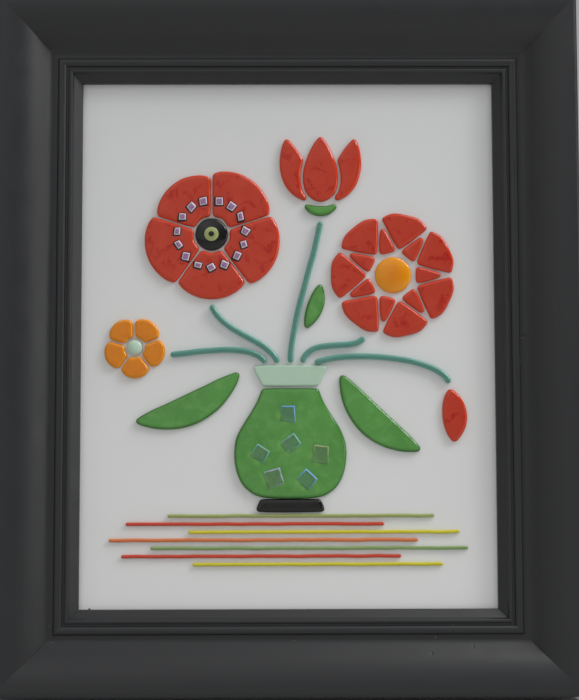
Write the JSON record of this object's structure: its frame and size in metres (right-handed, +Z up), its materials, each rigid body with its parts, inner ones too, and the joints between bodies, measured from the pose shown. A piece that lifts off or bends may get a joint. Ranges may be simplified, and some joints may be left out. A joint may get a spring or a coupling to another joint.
{
  "type": "framed fused glass picture",
  "caption": "Wall picture of coloured glass flowers in a vase, fused to a white glass sheet, in a wide black moulded wooden frame with a hanger on its back.",
  "frame": {"origin": "middle of the hanger's rear face, where the picture meets the wall", "axes": "+X to the right of a viewer who faces the picture, +Y into the wall, +Z up; the picture faces -Y"},
  "size_m": [0.407, 0.041, 0.486],
  "materials": {
    "frame_black": "black satin paint over wood, slightly worn",
    "white_glass": "glossy white opal glass",
    "red_glass": "glossy opaque glass with slight waves",
    "black_glass": "glossy opaque glass",
    "orange_glass": "glossy opaque glass",
    "yellow_glass": "glossy opaque glass rod",
    "coral_glass": "glossy opaque glass rod",
    "green_glass": "glossy see-through glass",
    "lime_glass": "glossy see-through glass rod",
    "mint_glass": "glossy pale opaline glass",
    "teal_glass": "glossy see-through glass rod",
    "board_brown": "bare hardboard",
    "zinc": "zinc-plated steel strip",
    "rubber_grey": "matte dark rubber"
  },
  "bodies": {
    "root": {"frame_top_rail": "frame_black", "frame_bottom_rail": "frame_black", "frame_left_rail": "frame_black", "frame_right_rail": "frame_black", "base_sheet": "white_glass", "backing_board": "board_brown", "sawtooth_hanger": "zinc", "wall_bumper_left": "rubber_grey", "wall_bumper_right": "rubber_grey", "poppy_petal_1": "red_glass", "poppy_petal_2": "red_glass", "poppy_petal_3": "red_glass", "poppy_petal_4": "red_glass", "poppy_petal_5": "red_glass", "poppy_centre": "black_glass", "dahlia_outer_1": "red_glass", "dahlia_outer_2": "red_glass", "dahlia_outer_3": "red_glass", "dahlia_outer_4": "red_glass", "dahlia_outer_5": "red_glass", "dahlia_outer_6": "red_glass", "dahlia_outer_7": "red_glass", "dahlia_inner_1": "red_glass", "dahlia_inner_2": "red_glass", "dahlia_inner_3": "red_glass", "dahlia_inner_4": "red_glass", "dahlia_inner_5": "red_glass", "dahlia_inner_6": "red_glass", "dahlia_inner_7": "red_glass", "dahlia_centre": "orange_glass", "tulip_petal_left": "red_glass", "tulip_petal_middle": "red_glass", "tulip_petal_right": "red_glass", "tulip_cup": "green_glass", "daisy_petal_1": "orange_glass", "daisy_petal_2": "orange_glass", "daisy_petal_3": "orange_glass", "daisy_petal_4": "orange_glass", "daisy_petal_5": "orange_glass", "daisy_centre": "mint_glass", "bud": "red_glass", "leaf_left": "green_glass", "leaf_right": "green_glass", "leaf_small": "green_glass", "stem_poppy": "teal_glass", "stem_tulip": "teal_glass", "stem_dahlia": "teal_glass", "stem_daisy": "teal_glass", "stem_bud": "teal_glass", "vase_foot": "black_glass", "vase_body": "green_glass", "vase_collar": "mint_glass", "table_stripe_1": "lime_glass", "table_stripe_2": "red_glass", "table_stripe_3": "yellow_glass", "table_stripe_4": "coral_glass", "table_stripe_5": "green_glass", "table_stripe_6": "red_glass", "table_stripe_7": "yellow_glass"}
  },
  "joints": []
}
